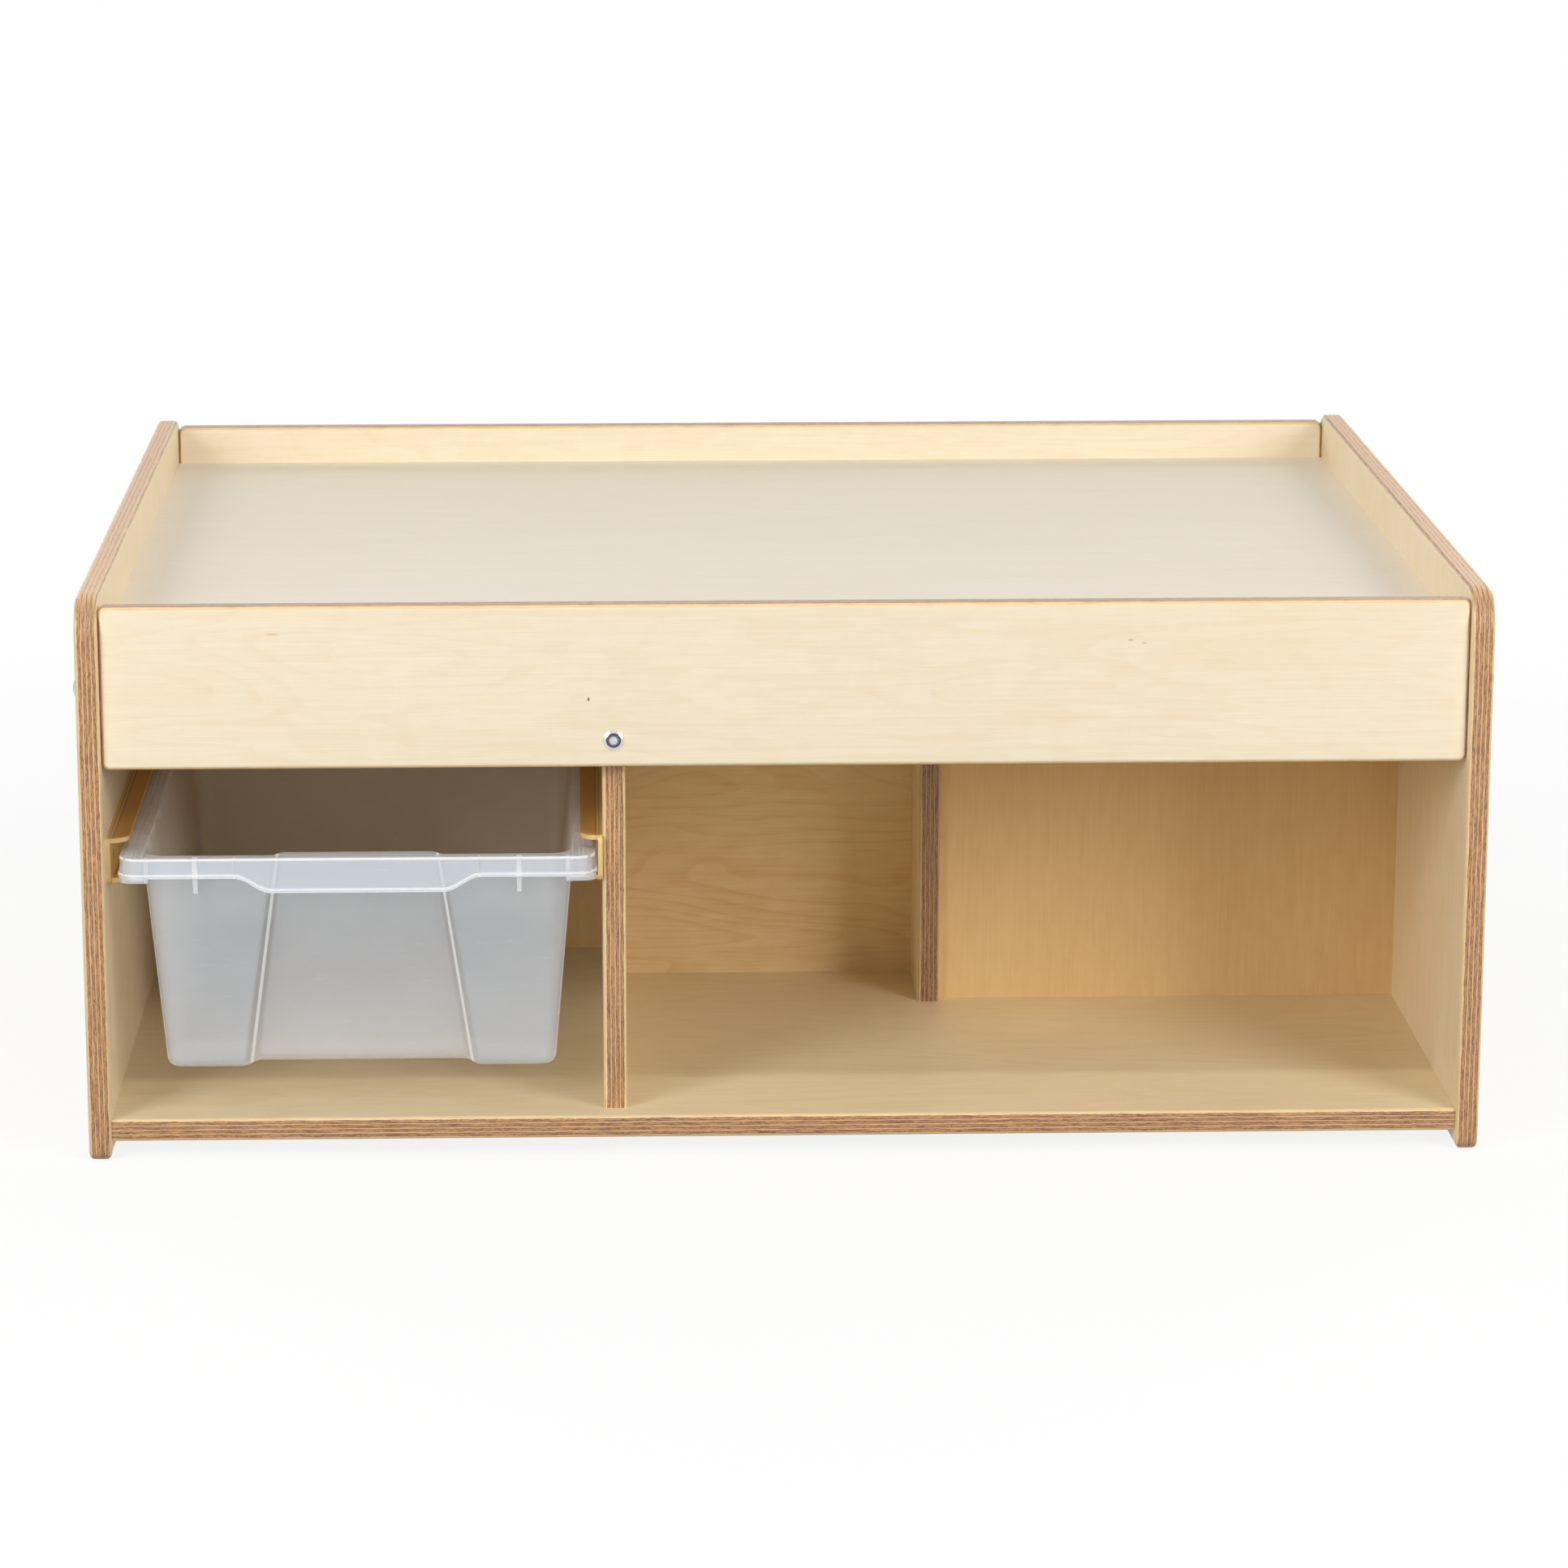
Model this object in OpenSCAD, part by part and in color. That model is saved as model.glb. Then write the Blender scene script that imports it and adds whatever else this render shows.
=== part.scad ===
// Play table for small children: two end panels carry a sunk play top between
// low aprons, a base shelf, and a pinwheel of dividers that makes one tray bay,
// one deep bay and one shallow bay on each long side.
// Units are millimetres. The origin is on the floor under the middle of the
// table, +X to the right, +Y to the back and +Z up. The back of the table is
// the front turned half a turn about +Z.

/* [Table] */
// Width over the outer faces of the two end panels
table_w = 914; // [860:1:1100]
// Depth of the end panels from front to back
table_d = 726; // [660:1:820]
// Height of the end panels
table_h = 375; // [345:1:460]
// Thickness of every plywood panel
ply = 15; // [14:0.5:18]
// Rounding of the panels' open edges
edge_r = 3; // [1:0.1:4]
// Corner radius at the top of an end panel
top_corner_r = 25; // [8:1:45]
// Corner radius at the foot of an end panel
foot_corner_r = 7; // [5:0.5:20]
// Rounding of the lower edge of an end panel, on which the table stands
foot_edge_r = 6; // [4:0.5:6.5]

/* [Apron and play top] */
// Height of each apron
apron_h = 107; // [85:1:120]
// How far an apron stands back from the end panels' edges
apron_inset = 6; // [2:0.5:15]
// How far an apron's top edge lies below the end panels' top
apron_drop = 6; // [0:0.5:15]
// Radius of an apron's corners
apron_corner_r = 5; // [4.5:0.5:10]
// Depth of the play well inside the aprons
well_depth = 27.5; // [15:0.5:40]

/* [Base shelf] */
// Gap between the floor and the base shelf
base_lift = 12.5; // [8:0.5:25]
// How far the base shelf stands back from the end panels' edges
base_inset = 3; // [1:0.5:10]

/* [Tray] */
// Width of a tray over its rim
tray_w = 311.5; // [290:0.5:330]
// Depth of a tray over its rim
tray_d = 427; // [400:1:440]
// Height of a tray from its floor to the top of its rim
tray_h = 147.5; // [100:0.5:155]
// Wall thickness of a tray
tray_wall = 1.8; // [1.4:0.1:3]
// Width of the rim along the tray's sides, outside the wall
rim_side = 15.4; // [13:0.1:22]
// Width of the rim along the tray's front and back, outside the wall
rim_front = 9.5; // [8:0.1:20]
// Height of the skirt that hangs from the rim
skirt_h = 17.7; // [14:0.1:22]
// How much shorter the skirt is along the front and back
skirt_up = 4.4; // [0:0.1:6]
// Width of the tray's corners, where the front skirt is as deep as the side skirts
corner_w = 20; // [16:0.5:30]
// Slope of a tray's walls, how far in they come at the floor
tray_draft = 13; // [6:0.5:16]
// Corner radius of a tray's mouth
mouth_r = 15; // [10:1:30]
// Corner radius of a tray at its floor
tray_foot_r = 8; // [6:1:24]
// Half width of the grip part of the rim, front and back
grip_half_w = 56; // [40:1:70]
// How much lower the skirt hangs at the grip
grip_drop = 9.8; // [4:0.1:14]
// How far the front wall is set in behind the grip, at the rim
grip_recess = 8; // [4:0.5:12]
// How far the front wall is set in behind the grip, at the floor
grip_recess_low = 14.5; // [6:0.5:20]
// How much wider the set-in part of the wall is at the floor, as a share
grip_spread = 0.4; // [0.1:0.01:0.45]

/* [Tray runner] */
// Height of a runner's bottom above the floor
runner_z = 183; // [172:0.5:220]
// Height of a runner
runner_h = 30; // [26:0.5:36]
// Thickness of a runner's web, flat against the panel
runner_web = 3; // [2.5:0.1:5]
// Thickness of a runner's two flanges
runner_flange = 3; // [2:0.1:4]
// Reach of a runner's flanges from the panel
runner_reach = 14.5; // [12:0.5:19]
// Length of a runner
runner_len = 400; // [300:1:460]
// How far a runner stands back from the end panels' edges
runner_inset = 17; // [10:1:22]
// Least gap between a runner and the back of its bay
runner_end_gap = 2; // [1:0.5:20]
// How far a runner's top flange starts behind its web
flange_setback = 4; // [1:0.5:30]
// How far a runner's ledge starts behind its web
ledge_setback = 7; // [1:0.5:30]
// Corner radius of a runner's web at its ends
runner_end_r = 5; // [2:0.5:8]
// Running gap between a tray's skirt and the runner's ledge
tray_lift = 0.3; // [0.2:0.1:1]
// Mean gap between a tray's rim and a runner's web
tray_side_gap = 2.75; // [2.4:0.05:4]
// How far a tray stands off its bay's middle, towards the divider
tray_shift = 2.2; // [0:0.1:2.2]
// Least gap behind a tray that is pushed home
tray_back_gap = 1; // [0.5:0.5:5]

/* [Dividers] */
// How far a divider runs past the back of its tray bay
divider_overrun = 9; // [2:0.5:20]

/* [Bolts and barrel nuts] */
// Diameter of the connector bolts
bolt_d = 6; // [5:0.5:6.5]
// Length of a bolt under its head
bolt_len = 50; // [45:1:60]
// Diameter of a bolt's button head
bolt_head_d = 13; // [10:0.5:14]
// Height of a bolt's button head
bolt_head_h = 2.2; // [1.8:0.1:4]
// Width across the flats of the hexagon socket
socket_af = 4; // [3:0.5:5]
// Diameter of a barrel nut
nut_d = 10; // [9:0.5:10.5]
// Length of a barrel nut
nut_len = 12; // [10:0.5:12.5]
// Distance from a joint's face to the barrel nut's axis
nut_reach = 29; // [20:1:30]
// Height of the bolt from an apron into its divider, above the apron's lower edge
divider_bolt_up = 18; // [14:1:24]

// Distance from the end panels' edges to the outer bolts of the base shelf
base_bolt_in = 116; // [60:1:160]
// Distance from the end panels' edges to the bolts of the play top
top_bolt_in = 160; // [80:1:200]
// Distance from the base shelf up to a bay back's lower bolt
back_bolt_low = 84; // [40:1:100]
// Distance from the play top down to a bay back's upper bolt
back_bolt_high = 66; // [40:1:100]

/* [Dowels and screws] */
// Diameter of the wooden dowels
dowel_d = 8; // [6:0.5:8]
// Length of a wooden dowel
dowel_len = 34; // [26:1:40]
// Length of the part of a dowel that sits in the face of a panel
dowel_in_face = 10; // [8:0.5:11]
// Distance from an apron's bolt to the dowel above or below it
dowel_from_bolt = 32; // [16:1:38]
// Distance from a divider's ends to its nearest dowel or screw
divider_end_in = 52; // [40:1:90]
// Height of a partition's dowel above the bay back's bolt beside it
partition_dowel_up = 30; // [20:1:50]
// Shank diameter of the screws under the base shelf
base_screw_d = 4; // [3.5:0.1:5]
// Length of the screws under the base shelf
base_screw_len = 50; // [40:1:60]
// Shank diameter of the runner screws
runner_screw_d = 3.5; // [3:0.1:4]
// Length of the runner screws
runner_screw_len = 14; // [12:0.5:16]

/* [Hidden] */
$fn = 48;
// Height of the straight rim of a bolt's button head
bolt_rim_h = 0.5;
// Radial clearance of bolts, nuts, dowels and screws in their holes
hole_gap = 0.05;
// Overlap of a cutter past the face that it opens
cut = 1;
turn = [0, 0, 180];

// Outer planes of the end panels and the space between them
half_w = table_w / 2;
half_d = table_d / 2;
inner_x = half_w - ply;

// Apron, play top and base shelf
apron_front = half_d - apron_inset;
apron_back = apron_front - ply;
apron_top = table_h - apron_drop;
apron_bottom = apron_top - apron_h;
top_z = apron_top - well_depth;
base_top = base_lift + ply;
base_half_d = half_d - base_inset;
bay_h = top_z - ply - base_top;

// Tray bay, named by its front-left copy
bay_w = tray_w + 2 * (tray_side_gap + runner_web);
bay_x0 = -inner_x;
bay_x1 = bay_x0 + bay_w;
back_y0 = -half_d + max(tray_d + tray_back_gap, runner_inset + runner_len + runner_end_gap);
back_y1 = back_y0 + ply;
divider_y0 = -apron_back;
divider_y1 = back_y1 + divider_overrun;
divider_x = bay_x1 + ply / 2;
deep_half_w = -(bay_x1 + ply);

// Tray and its place
tray_x = (bay_x0 + bay_x1) / 2 + tray_shift;
tray_y = -half_d + tray_d / 2;
rim_z = runner_z + runner_flange + tray_lift + skirt_h;
tray_half_w = tray_w / 2;
tray_half_d = tray_d / 2;
body_half_w = tray_half_w - rim_side;
body_half_d = tray_half_d - rim_front;
rim_round = 1.2;
floor_round = 6;

// Connector bolts: height or depth of each joint
apron_mid_y = (apron_front + apron_back) / 2;
apron_mid_z = (apron_top + apron_bottom) / 2;
base_mid_z = base_lift + ply / 2;
top_mid_z = top_z - ply / 2;
back_mid_y = (back_y0 + back_y1) / 2;
base_bolt_y = half_d - base_bolt_in;
top_bolt_y = half_d - top_bolt_in;
back_bolt_z = [base_top + back_bolt_low, top_z - ply - back_bolt_high];
divider_bolt_z = apron_bottom + divider_bolt_up;
socket_depth = bolt_head_h - 0.6;

// Bolts of the left end panel as [y, z], with the way that each nut goes in:
// 1 from the back face, -1 from the front face, 0 from below
apron_bolts = [[-apron_mid_y, apron_mid_z, 1], [apron_mid_y, apron_mid_z, -1]];
base_bolts = [for (y = [-base_bolt_y, 0, base_bolt_y]) [y, base_mid_z, 0]];
top_bolts = [for (y = [-top_bolt_y, top_bolt_y]) [y, top_mid_z, 0]];
back_bolts = [for (z = back_bolt_z) [back_mid_y, z, -1]];

// Dowels as [centre of the joint's face, direction into the panel's edge]
base_dowel_y = base_bolt_y / 2;
top_dowel_y = top_bolt_y / 2;
apron_dowel_spots = [for (y = [-apron_mid_y, apron_mid_y], s = [-1, 1])
    [[-inner_x, y, apron_mid_z + s * dowel_from_bolt], [1, 0, 0]]];
base_dowel_spots = [for (y = [-base_dowel_y, base_dowel_y]) [[-inner_x, y, base_mid_z], [1, 0, 0]]];
top_dowel_spots = [for (y = [-top_dowel_y, 0, top_dowel_y]) [[-inner_x, y, top_mid_z], [1, 0, 0]]];
divider_ends = [divider_y0 + divider_end_in, divider_y1 - divider_end_in];
divider_mid_y = (divider_y0 + divider_y1) / 2;
divider_dowel_spots = [for (y = divider_ends) [[divider_x, y, top_z - ply], [0, 0, -1]]];
divider_edge_r = edge_r / 2;
back_dowel_spots = [for (z = back_bolt_z) [[bay_x1, back_mid_y, z], [-1, 0, 0]]];
partition_dowel_spots = [for (z = back_bolt_z) [[-deep_half_w, 0, z + partition_dowel_up], [1, 0, 0]]];

// Screws under the base shelf, as [x, y]
base_screw_spots = concat(
    [for (y = concat(divider_ends, [divider_mid_y])) [divider_x, y]],
    [for (x = [bay_x0 + 0.25 * bay_w, bay_x0 + 0.75 * bay_w]) [x, back_mid_y]],
    [[-deep_half_w / 2, 0]]
);

// Screws of a runner, as distances along it
runner_screw_in = 24;
runner_screw_at = [runner_screw_in, runner_len / 2, runner_len - runner_screw_in];

// Rectangle with its low corner at the origin and round corners
module round_rect(w, h, r) {
    translate([r, 0]) square([w - 2 * r, h]);
    translate([0, r]) square([w, h - 2 * r]);
    for (x = [r, w - r], y = [r, h - r]) translate([x, y]) circle(r);
}

// Board that runs along X, with its four long edges rounded
module board_x(x0, x1, y0, y1, z0, z1, r) {
    translate([x0, y0, z0]) rotate([90, 0, 90]) linear_extrude(x1 - x0) round_rect(y1 - y0, z1 - z0, r);
}

// Board that stands upright, with its four upright edges rounded
module board_z(x0, x1, y0, y1, z0, z1, r) {
    translate([x0, y0, z0]) linear_extrude(z1 - z0) round_rect(x1 - x0, y1 - y0, r);
}

// Half section of a panel's edge: w wide from the axis, rounded at its far side
module edge_section(w, t, r) {
    square([w - r, t]);
    translate([0, r]) square([w, t - 2 * r]);
    for (y = [r, t - r]) translate([w - r, y]) circle(r);
}

// Quarter of a round corner of a panel, lying in the XY plane, from 0 to 90 degrees
module corner_sector(big_r, t, r) {
    rotate_extrude(angle = 90) intersection() {
        edge_section(big_r, t, r);
        square([big_r, t]);
    }
}

// Row across a panel that ends in two round corners, its rounded edge towards +Y
module corner_row(w, big_r, t, r) {
    translate([big_r, 0, 0]) rotate([0, 0, 90]) corner_sector(big_r, t, r);
    translate([w - big_r, 0, 0]) corner_sector(big_r, t, r);
    translate([big_r, 0, 0]) rotate([90, 0, 90]) linear_extrude(w - 2 * big_r) intersection() {
        edge_section(big_r, t, r);
        square([big_r, t]);
    }
}

// Panel that lies in the XY plane: w by h, with its own corner radii below and above
module round_panel(w, h, t, r, low_r, high_r) {
    translate([0, low_r, 0]) mirror([0, 1, 0]) corner_row(w, low_r, t, r);
    translate([0, h - high_r, 0]) rotate([90, 0, 0]) linear_extrude(h - low_r - high_r) round_rect(w, t, r);
    translate([0, h - high_r, 0]) corner_row(w, high_r, t, r);
}

// Round bar from a point along one axis direction
module bar(p, dir, d, len) {
    tilt = (dir[2] < 0 ? 180 : 0) - 90 * dir[1];
    translate(p) rotate([tilt, 90 * dir[0], 0]) cylinder(d = d, h = len);
}

// The children, and again half a turn round the table
module both_ends() {
    children();
    rotate(turn) children();
}

// Connector bolt along +Z, with its button head below the origin
module bolt() {
    head_r = bolt_head_d / 2;
    rise = bolt_head_h - bolt_rim_h;
    dome_r = (head_r * head_r + rise * rise) / (2 * rise);
    dome = [for (i = [0:8]) let (r = head_r * (1 - i / 8))
        [r, dome_r - rise - bolt_rim_h - sqrt(dome_r * dome_r - r * r)]];
    difference() {
        union() {
            cylinder(d = bolt_d, h = bolt_len - 1);
            translate([0, 0, bolt_len - 1]) cylinder(d1 = bolt_d, d2 = bolt_d - 1.5, h = 1);
            rotate_extrude() polygon(concat([[0, 0], [head_r, 0]], dome));
        }
        translate([0, 0, -bolt_head_h - cut])
            cylinder(d = socket_af / cos(30), h = socket_depth + cut, $fn = 6);
    }
}

// Bolts of the left end panel that join it to one group of pieces
module end_bolts(spots) {
    for (s = spots) translate([-half_w, s[0], s[1]]) rotate([0, 90, 0]) bolt();
}

// Direction in which the hole of a barrel nut opens
function nut_way(way) = way == 0 ? [0, 0, -1] : [0, way, 0];

// Barrel nut across a bolt, centred on the point, with its threaded hole along hole_dir
module barrel_nut(p, way, hole_dir) {
    difference() {
        bar(p - way * nut_len / 2, way, nut_d, nut_len);
        bar(p - hole_dir * nut_d, hole_dir, bolt_d + 2 * hole_gap, 2 * nut_d);
    }
}

// Hole of a barrel nut, from just past its inner end to outside the panel's face
module nut_hole(p, way) {
    bar(p - way * (nut_len / 2 + hole_gap), way, nut_d + 2 * hole_gap, nut_len / 2 + ply / 2 + cut);
}

function end_nut_at(s) = [-inner_x + nut_reach, s[0], s[1]];

// Holes of the end panel's bolts and of the nuts that they draw on
module end_bolt_holes(spots) {
    for (s = spots) {
        bar([-half_w - cut, s[0], s[1]], [1, 0, 0], bolt_d + 2 * hole_gap, bolt_len + 2 * cut);
        nut_hole(end_nut_at(s), nut_way(s[2]));
    }
}

module end_nuts(spots) {
    for (s = spots) barrel_nut(end_nut_at(s), nut_way(s[2]), [1, 0, 0]);
}

// Bolt from the front apron into the front divider, and its nut
divider_nut_at = [divider_x, divider_y0 + nut_reach, divider_bolt_z];
module divider_bolt_holes() {
    start = [divider_x, -apron_front - cut, divider_bolt_z];
    bar(start, [0, 1, 0], bolt_d + 2 * hole_gap, bolt_len + 2 * cut);
    nut_hole(divider_nut_at, [-1, 0, 0]);
}

// Dowels at their joints, or the holes for them where grow is above 0
module dowels(spots, grow = 0) {
    for (s = spots)
        bar(s[0] - s[1] * (dowel_in_face + 5 * grow), s[1], dowel_d + 2 * grow, dowel_len + 10 * grow);
}

// Countersunk screw along +Z with its flat head at the origin
module screw(d, len, grow = 0) {
    shank_r = d / 2 + grow;
    head_r = d + grow;
    sink = d / 2;
    point = d;
    rotate_extrude() polygon([
        [0, -2 * grow], [head_r, -2 * grow], [head_r, 0], [shank_r, sink],
        [shank_r, len - point + 5 * grow], [0.3, len + 5 * grow], [0, len + 5 * grow]
    ]);
}

module base_screw_set(grow = 0) {
    for (s = base_screw_spots) translate([s[0], s[1], base_lift]) screw(base_screw_d, base_screw_len, grow);
}

// Screws of one runner, laid out as the runner itself
module runner_screw_set(grow = 0) {
    for (y = runner_screw_at)
        translate([runner_web, y, runner_h / 2]) rotate([0, -90, 0])
            screw(runner_screw_d, runner_screw_len, grow);
}

// Flange of a runner, its two ends swept back from the web
module runner_flange_plate(z, setback) {
    sweep = runner_reach - runner_web;
    flange_len = runner_len - 2 * setback;
    translate([0, setback, z]) linear_extrude(runner_flange) {
        square([runner_web, flange_len]);
        translate([0, sweep]) square([runner_reach, flange_len - 2 * sweep]);
        intersection() {
            for (y = [sweep, flange_len - sweep]) translate([runner_web, y]) circle(sweep);
            square([runner_reach, flange_len]);
        }
    }
}

// Runner with its back on the plane x = 0, running along +Y from the origin
module runner() {
    difference() {
        union() {
            rotate([90, 0, 90]) linear_extrude(runner_web) round_rect(runner_len, runner_h, runner_end_r);
            runner_flange_plate(0, ledge_setback);
            runner_flange_plate(runner_h - runner_flange, flange_setback);
        }
        runner_screw_set(hole_gap);
    }
}

// Places of the front pair of runners
module at_outer_runner() {
    translate([bay_x0, -half_d + runner_inset, runner_z]) children();
}
module at_inner_runner() {
    translate([bay_x1, -half_d + runner_inset, runner_z]) mirror([1, 0, 0]) children();
}

// Smooth step from 0 to 1
function ease(t) = let (c = min(1, max(0, t))) c * c * (3 - 2 * c);

// Shape of a tray's rim along its front and back: x from the middle, in half widths of the grip.
// The wall is set in from 1 to 0.86, and the skirt comes down from 1.43 to 1.
grip_side = [0.86, 0.895, 0.93, 0.965, 1, 1.11, 1.21, 1.32, 1.43];
grip_reach = grip_side[len(grip_side) - 1];
// Width of the step where the front skirt meets a deeper corner
corner_step = 0.4;
function skirt_low(x) = ease((grip_reach - abs(x)) / (grip_reach - 1));
function wall_in(x) = ease((1 - abs(x)) / (1 - grip_side[0]));

// One ring of a tray, anticlockwise seen from above
function quarter(cx, cy, r, q, z) = [
    for (k = [0:5]) let (a = 90 * q + 18 * k) [cx + r * cos(a), cy + r * sin(a), z]
];
function spread_x(s, spread) = grip_half_w * (s <= 1 ? s * spread
    : spread + (s - 1) * (grip_reach - spread) / (grip_reach - 1));
// Half of a side, from the grip's edge outwards; the last two points are at the corner's step
function half_line(b, z, up, drop, recess, spread, reach) = concat(
    [for (s = grip_side) [spread_x(s, spread), b - recess * wall_in(s), z + up - drop * skirt_low(s)]],
    [[reach - corner_step, b, z + up], [reach, b, z]]
);
function grip_line(way, half) = concat(
    [for (i = [len(half) - 1:-1:0]) [way * half[i][0], way * half[i][1], half[i][2]]],
    [for (p = half) [-way * p[0], way * p[1], p[2]]]
);
function ring(a, b, r, z, up = 0, drop = 0, recess = 0, spread = 1) = let (
    reach = min(tray_half_w - corner_w, a - r - 1),
    front = half_line(b, z, up, drop, recess, spread, reach),
    back = half_line(b, z, up, drop, 0, spread, reach)
) concat(
    quarter(a - r, b - r, r, 0, z), grip_line(1, back),
    quarter(r - a, b - r, r, 1, z), quarter(r - a, r - b, r, 2, z),
    grip_line(-1, front), quarter(a - r, r - b, r, 3, z)
);

// Ring of the tray's wall, in mm inside its outer face and at height z below the rim's top.
// The part behind the front grip lies further in and gets wider towards the floor.
function wall_ring(in, z) = let (
    s = -z / tray_h, d = tray_draft * s + in, r = mouth_r + (tray_foot_r - mouth_r) * s - in / 2,
    recess = grip_recess + (grip_recess_low - grip_recess) * s
) ring(body_half_w - d, body_half_d - d, r, z, recess = recess, spread = 1 + grip_spread * s);

// Whole tray, with the top of its rim at z = 0
round_steps = [0, 30, 60, 90];
rim_r = 14;
tray_rings = concat(
    [for (a = round_steps) wall_ring(floor_round * (1 - sin(a)), -tray_h + floor_round * (1 - cos(a)))],
    [for (z = [-tray_h / 6, -tray_wall]) wall_ring(0, z)],
    [ring(tray_half_w - tray_wall, tray_half_d - tray_wall, rim_r - tray_wall, -tray_wall)],
    [for (e = [tray_wall, 0])
        ring(tray_half_w - e, tray_half_d - e, rim_r - e, -skirt_h, up = skirt_up, drop = grip_drop)],
    [for (a = round_steps) let (e = rim_round * (1 - cos(a)))
        ring(tray_half_w - e, tray_half_d - e, rim_r - e, -rim_round * (1 - sin(a)))],
    [wall_ring(tray_wall - rim_round, 0)],
    [for (z = [-rim_round, -tray_h / 6]) wall_ring(tray_wall, z)],
    [for (a = [90, 60, 30, 0]) wall_ring(
        tray_wall + floor_round * (1 - sin(a)), tray_wall - tray_h + floor_round * (1 - cos(a)))]
);

// Skin over a stack of rings, closed by a fan of triangles at each end
module lofted(rings) {
    n = len(rings[0]);
    m = len(rings);
    first = m * n;
    last = first + 1;
    points = concat([for (r = rings, p = r) p], [[0, 0, rings[0][0][2]], [0, 0, rings[m - 1][0][2]]]);
    polyhedron(points, [
        for (j = [0:n - 1]) let (k = (j + 1) % n) each concat(
            [[first, j, k], [last, last_ring(m, n) + k, last_ring(m, n) + j]],
            [for (i = [0:m - 2]) [i * n + j, (i + 1) * n + j, (i + 1) * n + k]],
            [for (i = [0:m - 2]) [i * n + j, (i + 1) * n + k, i * n + k]]
        )
    ]);
}
function last_ring(m, n) = (m - 1) * n;

// Pieces of the left and front half of the table
module end_panel_shape() {
    difference() {
        intersection() {
            translate([-half_w, -half_d, 0]) rotate([90, 0, 90])
                round_panel(table_d, table_h, ply, edge_r, foot_corner_r, top_corner_r);
            translate([-half_w, half_d, 0]) rotate([90, 0, 0]) linear_extrude(table_d)
                round_rect(ply, table_h + 2 * foot_edge_r, foot_edge_r);
        }
        end_bolt_holes(concat(apron_bolts, base_bolts, top_bolts, back_bolts));
        dowels(concat(apron_dowel_spots, base_dowel_spots, top_dowel_spots), hole_gap);
        at_outer_runner() runner_screw_set(hole_gap);
    }
}

module apron_shape() {
    difference() {
        translate([-inner_x, -apron_back, apron_bottom]) rotate([90, 0, 0])
            round_panel(2 * inner_x, apron_h, ply, edge_r, apron_corner_r, apron_corner_r);
        both_ends() end_bolt_holes(apron_bolts);
        both_ends() dowels(apron_dowel_spots, hole_gap);
        divider_bolt_holes();
    }
}

module divider_shape() {
    difference() {
        board_z(bay_x1, bay_x1 + ply, divider_y0, divider_y1, base_top, top_z - ply, divider_edge_r);
        divider_bolt_holes();
        dowels(concat(divider_dowel_spots, back_dowel_spots, partition_dowel_spots), hole_gap);
        base_screw_set(hole_gap);
        at_inner_runner() runner_screw_set(hole_gap);
    }
}

module bay_back_shape() {
    difference() {
        translate([bay_x0, back_y0, base_top]) cube([bay_w, ply, bay_h]);
        end_bolt_holes(back_bolts);
        dowels(back_dowel_spots, hole_gap);
        base_screw_set(hole_gap);
    }
}

module tray_shape() {
    translate([tray_x, tray_y, rim_z]) lofted(tray_rings);
}

birch = [0.93, 0.87, 0.75];
tray_grey = [0.8, 0.81, 0.81];
runner_tan = [0.84, 0.7, 0.42];
steel = [0.75, 0.76, 0.78];
beech = [0.82, 0.66, 0.48];

// One module for each piece
module left_end_panel() { color(birch) end_panel_shape(); }
module right_end_panel() { color(birch) rotate(turn) end_panel_shape(); }
module front_apron() { color(birch) apron_shape(); }
module rear_apron() { color(birch) rotate(turn) apron_shape(); }

module play_top() {
    color(birch) difference() {
        translate([-inner_x, -apron_back, top_z - ply]) cube([2 * inner_x, 2 * apron_back, ply]);
        both_ends() end_bolt_holes(top_bolts);
        both_ends() dowels(concat(top_dowel_spots, divider_dowel_spots), hole_gap);
    }
}

module base_shelf() {
    color(birch) difference() {
        board_x(-inner_x, inner_x, -base_half_d, base_half_d, base_lift, base_top, edge_r);
        both_ends() end_bolt_holes(base_bolts);
        both_ends() dowels(base_dowel_spots, hole_gap);
        both_ends() base_screw_set(hole_gap);
    }
}

module front_divider() { color(birch) divider_shape(); }
module rear_divider() { color(birch) rotate(turn) divider_shape(); }

module centre_partition() {
    color(birch) difference() {
        translate([-deep_half_w, -ply / 2, base_top]) cube([2 * deep_half_w, ply, bay_h]);
        both_ends() dowels(partition_dowel_spots, hole_gap);
        both_ends() base_screw_set(hole_gap);
    }
}

module front_bay_back() { color(birch) bay_back_shape(); }
module rear_bay_back() { color(birch) rotate(turn) bay_back_shape(); }
module front_tray() { color(tray_grey) tray_shape(); }
module rear_tray() { color(tray_grey) rotate(turn) tray_shape(); }
module front_outer_runner() { color(runner_tan) at_outer_runner() runner(); }
module front_inner_runner() { color(runner_tan) at_inner_runner() runner(); }
module rear_outer_runner() { color(runner_tan) rotate(turn) at_outer_runner() runner(); }
module rear_inner_runner() { color(runner_tan) rotate(turn) at_inner_runner() runner(); }

module front_runner_screws() {
    color(steel) {
        at_outer_runner() runner_screw_set();
        at_inner_runner() runner_screw_set();
    }
}
module rear_runner_screws() { rotate(turn) front_runner_screws(); }

module left_panel_bolts() { color(steel) end_bolts(concat(apron_bolts, base_bolts, top_bolts, back_bolts)); }
module right_panel_bolts() { rotate(turn) left_panel_bolts(); }

module front_apron_bolt() {
    color(steel) translate([divider_x, -apron_front, divider_bolt_z]) rotate([-90, 0, 0]) bolt();
}
module rear_apron_bolt() { rotate(turn) front_apron_bolt(); }

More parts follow.
